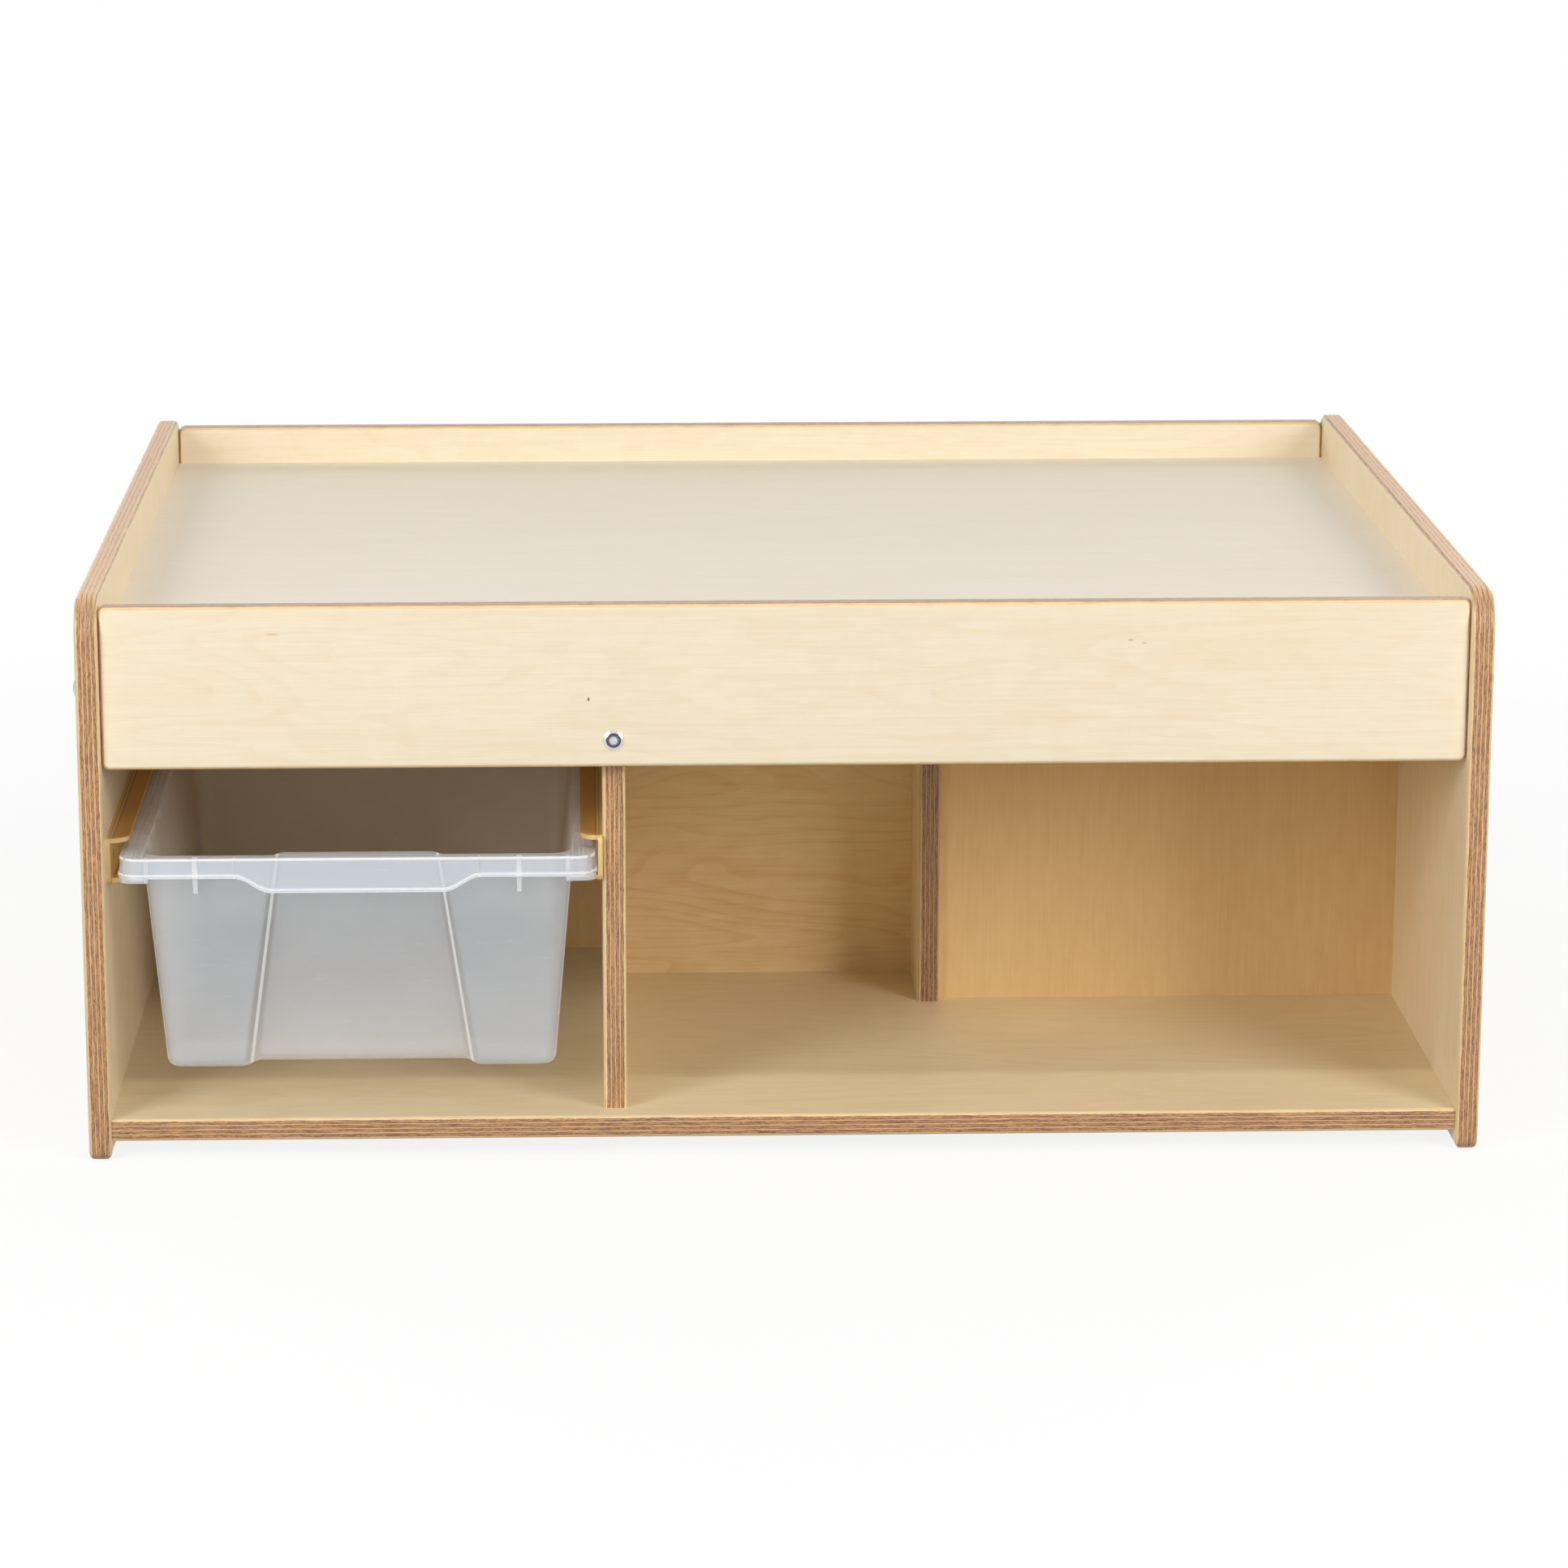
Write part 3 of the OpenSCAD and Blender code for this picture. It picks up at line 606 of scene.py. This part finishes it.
# Fittings: light and dark tones
BOLT_STEEL = (shade(226, 226, 228), shade(204, 204, 208))
ZINC_STEEL = (shade(196, 199, 204), shade(158, 161, 168))
# Painted dark reflection in a ring on the bolts' domes
PAINTED_DARK_REFLECTION = shade(62, 56, 58)
BEECH = (shade(214, 168, 120), shade(192, 140, 92))
BEECH_FLECK = shade(150, 98, 62)


def plated_steel(name, tone, roughness, scratches, painted_reflection_share):
    """Plated steel, light and dark in blotches, with a painted dark reflection in a ring halfway
    down its domes.
    """
    f = new_finish(name)
    place = f.coordinates()
    blotch = f.specks(place, (420, 420, 420), 3)
    scratch = f.specks(place, (3000, 3000, 260), 2)
    flat = highest(*(abs(part) for part in f.coordinates("Normal")))
    # ring of painted dark reflection where the dome's normal tilts halfway
    painted_reflection_ring = flat.ease(0.915, 0.94) * flat.ease(0.985, 0.972) * painted_reflection_share
    light, dark = tone
    colour = f.mix((blotch * 0.7 + scratch * 0.3).clamped(), dark, light)
    return f.done(f.principled({
        "Base Color": f.mix(painted_reflection_ring, colour, PAINTED_DARK_REFLECTION),
        "Metallic": 1.0,
        "Roughness": roughness + scratches * scratch + 0.05 * blotch,
        "Normal": f.bump(scratch, 0.1, 0.00003),
    }))


def beech():
    """Beech of the dowels, its grain along X for most of them."""
    f = new_finish("beech_wood")
    place = f.coordinates()
    fibre = f.specks(place, (60, 1400, 1400), 3)
    fleck = f.specks(place, (500, 2500, 2500), 1).ease(0.62, 0.75)
    return f.done(f.principled({
        "Base Color": f.mix(fleck * 0.5, f.mix(fibre, *BEECH), BEECH_FLECK),
        "Roughness": 0.55 + 0.1 * fibre,
        "Normal": f.bump(fibre, 0.3, 0.0001),
    }))


def wear(node, material):
    """Puts a material in every slot of a CAD node."""
    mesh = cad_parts[node].data
    if not mesh.materials:
        mesh.materials.append(material)
    for index in range(len(mesh.materials)):
        mesh.materials[index] = material


# A nick and pin knots of the front apron, in mm: place along and beside the grain, half
# length, half width, side of the panel, strength, colour
APRON_MARKS = (
    (-127.5, 307.0, 0.9, 1.7, -1, 0.9, shade(62, 44, 34)),
    (-330.0, 351.0, 5.0, 0.9, -1, 0.5, shade(214, 160, 98)),
    (222.0, 344.0, 2.4, 0.8, -1, 0.6, shade(196, 140, 92)),
    (231.0, 342.0, 1.8, 0.7, -1, 0.5, shade(196, 140, 92)),
)

# Axis through each panel, axis of its face grain, its tone, and what else differs on it
PANELS = {
    "left_end_panel": (X, Z, WARM_BIRCH, {}),
    "right_end_panel": (X, Z, WARM_BIRCH, {}),
    "front_apron": (Y, X, PALE_BIRCH, {"figured": 0.12, "marks": APRON_MARKS}),
    "rear_apron": (Y, X, PALE_BIRCH, {"figured": 0.1}),
    # the play top's tone holds partly painted sheen
    "play_top": (Z, X, TOP_BIRCH_AND_SHEEN, {"rings": 9, "figured": 0.12, "contrast": 0.7, "gloss": 0.4}),
    "base_shelf": (Z, X, SHELF_BIRCH, {"rings": 10, "contrast": 0.8, "gloss": 0.8}),
    "front_divider": (X, Z, WARM_BIRCH, {}),
    # the rear divider's cut edges are darker brown
    "rear_divider": (X, Z, WARM_BIRCH, {"edge_darkening": 0.45}),
    # the partition and the bay backs take tones that hold partly painted warm shade
    "centre_partition": (Y, X, FIGURED_BIRCH_AND_BAY_SHADE, {"contrast": 1.3}),
    "front_bay_back": (Y, Z, HONEY_BIRCH_AND_BAY_SHADE, {"figured": 0.0}),
    "rear_bay_back": (Y, Z, HONEY_BIRCH_AND_BAY_SHADE, {"figured": 0.0}),
}


def dress_panels():
    for figure, (panel, (across, grain, tone, look)) in enumerate(PANELS.items(), 1):
        wear(panel, birch_ply(panel, across, grain, tone, figure, **look))


def dress_fittings():
    runner = tan_plastic()
    # the bolts get a strong ring of painted dark reflection, the zinc parts a faint one
    chrome = plated_steel("bolt_bright_steel", BOLT_STEEL, 0.12, 0.06, 0.9)
    zinc = plated_steel("zinc_plated_steel", ZINC_STEEL, 0.3, 0.14, 0.2)
    wood = beech()
    for end in ("front", "rear"):
        wear(end + "_outer_runner", runner)
        wear(end + "_inner_runner", runner)
        wear(end + "_runner_screws", zinc)
        wear(end + "_apron_bolt", chrome)
    for side in ("left", "right"):
        wear(side + "_panel_bolts", chrome)
        wear(side + "_barrel_nuts", zinc)
    wear("divider_barrel_nuts", zinc)
    wear("base_screws", zinc)
    for dowels in ("apron", "base", "top", "divider", "bay_back", "partition"):
        wear(dowels + "_dowels", wood)


# The tray's mesh: how many steps its curves have, and the angle in degrees of a sharp edge
WALL_STEPS = 8
SLOPE_STEPS = 14
CORNER_STEPS = 10
FLOOR_STEPS = 7
EDGE_STEPS = 5
SHARP_ANGLE = 38


def ease(t):
    t = min(1.0, max(0.0, t))
    return t * t * (3 - 2 * t)


def grip_stations():
    """Places along half a side, in half widths of the grip, from its middle outwards."""
    wall = [WALL_SHARE + (1 - WALL_SHARE) * i / WALL_STEPS for i in range(WALL_STEPS + 1)]
    slope = [1 + (GRIP_REACH - 1) * i / SLOPE_STEPS for i in range(1, SLOPE_STEPS + 1)]
    return [0.0, 0.4] + wall + slope


STATIONS = grip_stations()


def half_ring(half_w, half_d, radius, recess, spread):
    """Half a ring, from right round to left, as (x, y, share of the grip's drop, lip)."""
    reach = min(CORNER_X, half_w - radius - 1)
    half = []
    for s in STATIONS:
        outer = spread + (s - 1) * (GRIP_REACH - spread) / (GRIP_REACH - 1)
        x = GRIP_HALF_W * (s * spread if s <= 1 else outer)
        inset = recess * ease((1 - s) / (1 - WALL_SHARE))
        half.append((x, half_d - inset, ease((GRIP_REACH - s) / (GRIP_REACH - 1)), NO_LIP))
    half.append((reach - CORNER_STEP, half_d, 0.0, NO_LIP))
    half.append((reach, half_d, 0.0, CORNER_LIP))
    quarter = []
    for k in range(CORNER_STEPS + 1):
        angle = math.pi / 2 * k / CORNER_STEPS
        lip = SIDE_LIP + (CORNER_LIP - SIDE_LIP) * ease(k / CORNER_STEPS)
        quarter.append((half_w - radius + radius * math.cos(angle),
                        half_d - radius + radius * math.sin(angle), 0.0, lip))
    back_right = quarter + half[::-1]
    back_left = [(-x, y, drop, lip) for x, y, drop, lip in back_right[::-1]][1:]
    return back_right + back_left


def tray_ring(half_w, half_d, radius, recess=0.0, spread=1.0):
    """One ring round the tray, anticlockwise. Only its front is set in behind the grip."""
    back = half_ring(half_w, half_d, radius, 0.0, spread)
    front = half_ring(half_w, half_d, radius, recess, spread)
    return back + [(-x, -y, drop, lip) for x, y, drop, lip in front]


def level(points, z):
    return [(x, y, z) for x, y, _, _ in points]


def hung(points, up):
    """A ring at a height above the hem's lower edge, which follows the grip."""
    return [(x, y, up - FRONT_SKIRT - GRIP_DROP * drop) for x, y, drop, _ in points]


def lipped(points, up):
    """A ring at a height above the lower edge of the skirt's lip."""
    return [(x, y, up - FRONT_SKIRT - GRIP_DROP * drop - lip) for x, y, drop, lip in points]


def wall_ring(inset, z):
    """The wall's outer face, or a ring inset into it, at height z."""
    down = -z / TRAY_H
    inward = DRAFT * down + inset
    recess = RECESS_TOP + (RECESS_LOW - RECESS_TOP) * down
    radius = MOUTH_R + (FOOT_R - MOUTH_R) * down - inset / 2
    return level(tray_ring(TRAY_HALF_W - RIM_SIDE - inward, TRAY_HALF_D - RIM_FRONT - inward,
                           radius, recess, 1 + GRIP_SPREAD * down), z)


def rim_ring(inset):
    return tray_ring(TRAY_HALF_W - inset, TRAY_HALF_D - inset, RIM_R - inset)


def quarter_turn(steps):
    """Steps of a rounded edge: shares of its radius that it has come in and has yet to go."""
    angles = [math.pi / 2 * k / steps for k in range(steps + 1)]
    return [(1 - math.cos(angle), 1 - math.sin(angle)) for angle in angles]


def floor_curve(inset):
    """Rings round the tray's lower edge, from the wall towards the floor."""
    return [wall_ring(inset + FLOOR_R * inward, -TRAY_H + inset + FLOOR_R * to_go)
            for inward, to_go in quarter_turn(FLOOR_STEPS)]


# Section of the rim from its underside out round its skirt: kind of ring, inset, height
RIM_SECTION = (
    (level, 4.4, -TRAY_WALL), (level, 3.4, -TRAY_WALL - 0.9),
    (hung, 2.9, HEM + 0.5), (lipped, 2.5, 0.4), (lipped, 2.2, 0.0),
    (lipped, 1.2, 0.0), (lipped, 0.9, 0.35), (hung, 0.75, -0.02),
    (hung, 0.2, 0.15), (hung, 0.0, 0.5), (hung, 0.0, HEM - 0.7),
    (hung, 0.25, HEM - 0.25), (hung, 1.0, HEM), (hung, 1.1, HEM + 0.8),
)
RIM_EDGE_INSET = 1.4
RIM_EDGE_R = 1.1
MOUTH_SECTION = ((TRAY_WALL - 1.2, 0.0), (TRAY_WALL - 0.3, -0.35), (TRAY_WALL, -1.2))
WALL_LEVELS = (-30, -70, -110)


def tray_rings():
    """All rings of the tray's skin, from the middle of its underside to that of its floor."""
    outside = floor_curve(0.0)[::-1] + [wall_ring(0.0, z) for z in WALL_LEVELS[::-1]]
    outside.append(wall_ring(0.0, -TRAY_WALL - 1.2))
    rim = [hang(rim_ring(inset), height) for hang, inset, height in RIM_SECTION]
    rim += [level(rim_ring(RIM_EDGE_INSET + RIM_EDGE_R * inward), -RIM_EDGE_R * to_go)
            for inward, to_go in quarter_turn(EDGE_STEPS)]
    mouth = [wall_ring(inset, height) for inset, height in MOUTH_SECTION]
    inside = [wall_ring(TRAY_WALL, z) for z in WALL_LEVELS] + floor_curve(TRAY_WALL)
    return outside + rim + mouth + inside


def skin_over(rings):
    """Closed mesh over a stack of rings."""
    mesh = bmesh.new()
    rows = [[mesh.verts.new(p) for p in ring] for ring in rings]
    count = len(rows[0])
    for low, high in zip(rows, rows[1:]):
        for j in range(count):
            k = (j + 1) % count
            mesh.faces.new((low[j], low[k], high[k], high[j]))
    for row, flip in ((rows[0], True), (rows[-1], False)):
        middle = mesh.verts.new((0, 0, row[0].co.z))
        for j in range(count):
            k = (j + 1) % count
            mesh.faces.new((row[k], row[j], middle) if flip else (row[j], row[k], middle))
    return mesh


def block(mesh, low, high, pull_x=0.0, pull_y=0.0):
    """Adds a closed block between two corners; its lower end may be narrower than its top."""
    (x0, y0, z0), (x1, y1, z1) = low, high
    corners = [(x0 + pull_x, y0 + pull_y, z0), (x1 - pull_x, y0 + pull_y, z0),
               (x1 - pull_x, y1, z0), (x0 + pull_x, y1, z0),
               (x0, y0, z1), (x1, y0, z1), (x1, y1, z1), (x0, y1, z1)]
    v = [mesh.verts.new(c) for c in corners]
    for a, b, c, d in ((3, 2, 1, 0), (4, 5, 6, 7), (0, 1, 5, 4), (1, 2, 6, 5), (2, 3, 7, 6),
                       (3, 0, 4, 7)):
        mesh.faces.new((v[a], v[b], v[c], v[d]))


# Plates behind the front skirt, in mm: place, half thickness, lower end, reach into the wall,
# and how much narrower they are below, across and in depth
FRONT_PLATES = (
    (RIB_X, 2.1, -24.3, 2.9, 0.7, 3.2),
    (GUSSET_X, 0.7, -FRONT_SKIRT + 1.2, 1.2, 0.0, 0.0),
    (PLATE_X, 1.0, -FRONT_SKIRT - CORNER_LIP + 0.3, 6.0, 0.0, 0.0),
)


def tray_ribs():
    """Ribs, gussets and corner plates under the tray's rim, as one mesh of separate blocks."""
    mesh = bmesh.new()
    front = SKIRT_INSIDE - TRAY_HALF_D
    wall = RIM_FRONT - TRAY_HALF_D
    for at, half, low, into, pull_x, pull_y in FRONT_PLATES:
        for x in (-at, at):
            block(mesh, (x - half, front, low), (x + half, wall + into, PLATE_TOP), pull_x, pull_y)
    outer = TRAY_HALF_W - SKIRT_INSIDE
    inner = TRAY_HALF_W - RIM_SIDE - SIDE_RIB_INTO
    for x0, x1 in ((-outer, -inner), (inner, outer)):
        for at in SIDE_RIBS:
            y = at - TRAY_HALF_D
            block(mesh, (x0, y - SIDE_RIB_HALF, SIDE_RIB_LOW), (x1, y + SIDE_RIB_HALF, PLATE_TOP))
    half = mesh.verts[:] + mesh.edges[:] + mesh.faces[:]
    copies = bmesh.ops.duplicate(mesh, geom=half)["geom"]
    turned = [g for g in copies if isinstance(g, bmesh.types.BMVert)]
    bmesh.ops.rotate(mesh, verts=turned, matrix=Matrix.Rotation(math.pi, 3, "Z"))
    return mesh


def add_object(name, data):
    made = bpy.data.objects.new(name, data)
    bpy.context.scene.collection.objects.link(made)
    return made


def to_object(name, mesh, scale=MM):
    """Turns a bmesh in mm into a named object in metres."""
    bmesh.ops.scale(mesh, vec=(scale, scale, scale), verts=mesh.verts[:])
    bmesh.ops.recalc_face_normals(mesh, faces=mesh.faces[:])
    data = bpy.data.meshes.new(name)
    mesh.to_mesh(data)
    mesh.free()
    return add_object(name, data)


def united(main, other):
    """Joins two closed objects into one solid and deletes the second."""
    join = main.modifiers.new("join", "BOOLEAN")
    join.operation = "UNION"
    join.solver = "MANIFOLD"
    join.object = other
    graph = bpy.context.evaluated_depsgraph_get()
    joined = bpy.data.meshes.new_from_object(main.evaluated_get(graph))
    joined.name = main.name
    main.modifiers.clear()
    main.data = joined
    bpy.data.objects.remove(other)


def make_tray():
    """The tray's mesh, moulded in one piece."""
    tray = to_object("front_storage_tray", skin_over(tray_rings()))
    united(tray, to_object("tray_ribs", tray_ribs()))
    tray.data.shade_smooth()
    tray.data.set_sharp_from_angle(angle=math.radians(SHARP_ANGLE))
    tray.data.materials.clear()
    tray.data.materials.append(tray_plastic())
    return tray


def place_trays():
    """Both trays share one mesh. The rear one faces the back."""
    front = make_tray()
    rear = add_object("rear_storage_tray", front.data)
    for tray, body, turn in ((front, "front_tray", 0.0), (rear, "rear_tray", math.pi)):
        low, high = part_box(body)
        middle = (Vector(low) + Vector(high)) / 2
        middle.z = high[Z]
        tray.matrix_world = Matrix.Translation(middle) @ Matrix.Rotation(turn, 4, "Z")
        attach(tray, body)
        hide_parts(body)


# Studio, in metres, watts and degrees; each softbox has its angle round the table and power
HORIZON_LIGHT = 0.07
ZENITH_LIGHT = 0.33
FLOOR_SIZE = 12.0
FLOOR_GLOW = (0.86, 1.0)
FLOOR_PAINT = (shade(166, 166, 165), shade(174, 173, 172))
FLOOR_SHOWN = shade(250, 250, 250)
SHADOW_REACH = (0.7, 1.7)
SOFTBOX_ELEVATION = 20
SOFTBOX_DISTANCE = 2.5
SOFTBOX_SIZE = (0.8, 1.0)
SOFTBOXES = (("right", 40, 26.5), ("left", -40, 26.5), ("back_right", 140, 14),
             ("back_left", -140, 14))
LAMP_AIM = Vector((0, 0, 0.2))


def white_world():
    """White behind the object and in its reflections, and a plain level of light on it."""
    f = Finish(bpy.data.worlds.new("studio"))
    up = f.coordinates("Generated")[Z].clamped()
    light = HORIZON_LIGHT + (ZENITH_LIGHT - HORIZON_LIGHT) * up
    strength = light.towards(1.0, f.shown())
    sky = f.node("ShaderNodeBackground", {}, {"Color": WHITE, "Strength": strength})
    bpy.context.scene.world = f.done(sky, "ShaderNodeOutputWorld")


def floor_white():
    """Pale paint that looks white further out, but keeps the object's shadow."""
    f = new_finish("studio_floor_white")
    x, y, z = f.coordinates()
    shown = f.shown()
    cloud = f.specks((x, y, z), (3, 3, 1), 2)
    glow = f.node("ShaderNodeEmission", {}, {"Color": WHITE, "Strength": 1.0})
    lit = f.mix(shown, f.mix(cloud, *FLOOR_PAINT), FLOOR_SHOWN)
    paint = f.node("ShaderNodeBsdfDiffuse", {}, {"Color": lit})
    away = (x * x + y * y).root().ease(*SHADOW_REACH)
    near_glow, far_glow = FLOOR_GLOW
    share = near_glow + (far_glow - near_glow) * away
    return f.done(f.shader_mix(shown * share, paint, glow))


def studio_floor():
    mesh = bmesh.new()
    bmesh.ops.create_grid(mesh, x_segments=4, y_segments=4, size=FLOOR_SIZE / 2)
    floor = to_object("studio_floor", mesh, 1.0)
    floor.data.materials.append(floor_white())


def soft_lamp(name, place, aim, size, power):
    lamp = bpy.data.lights.new(name, "AREA")
    lamp.shape = "RECTANGLE"
    lamp.size, lamp.size_y = size
    lamp.energy = power
    holder = add_object(name, lamp)
    holder.location = place
    holder.rotation_euler = (Vector(aim) - Vector(place)).to_track_quat("-Z", "Y").to_euler()


def around(azimuth, elevation, distance):
    """Place at an angle right of the front and a height angle, seen from the origin."""
    a, e = math.radians(azimuth), math.radians(elevation)
    return Vector((math.sin(a) * math.cos(e), -math.cos(a) * math.cos(e), math.sin(e))) * distance


def studio_lamps():
    for name, azimuth, power in SOFTBOXES:
        place = around(azimuth, SOFTBOX_ELEVATION, SOFTBOX_DISTANCE) + LAMP_AIM
        soft_lamp(name + "_softbox", place, LAMP_AIM, SOFTBOX_SIZE, power)
    soft_lamp("overhead_strip", place=(0, -1.2, 2.5), aim=(0, 0, 0.3), size=(1.2, 0.12), power=11)


# The photograph's camera, found from the panels' corners: angles in degrees, place in metres
CAMERA_TURN = (1.378, 13.803, 0.072)
CAMERA_PLACE = (-0.1278, -3.6416, 1.0311)
SENSOR_WIDTH = 36.0
LENS_LENGTH = 119.77
LENS_SHIFT = (0.0467, 0.0254)


def photo_camera():
    yaw, pitch, roll = (math.radians(a) for a in CAMERA_TURN)
    ahead = Vector((math.sin(yaw) * math.cos(pitch), math.cos(yaw) * math.cos(pitch),
                    -math.sin(pitch)))
    right = Vector((math.cos(yaw), -math.sin(yaw), 0))
    down = ahead.cross(right)
    turned_right = math.cos(roll) * right + math.sin(roll) * down
    turned_down = math.cos(roll) * down - math.sin(roll) * right
    lens = bpy.data.cameras.new("photo_camera")
    lens.sensor_width = SENSOR_WIDTH
    lens.lens = LENS_LENGTH
    lens.shift_x, lens.shift_y = LENS_SHIFT
    camera = add_object("photo_camera", lens)
    turn = Matrix((turned_right, -turned_down, -ahead)).transposed().to_4x4()
    camera.matrix_world = Matrix.Translation(CAMERA_PLACE) @ turn
    bpy.context.scene.camera = camera


photo_camera()
white_world()
studio_floor()
studio_lamps()
dress_panels()
dress_fittings()
place_trays()
bpy.context.scene.view_settings.view_transform = "Standard"
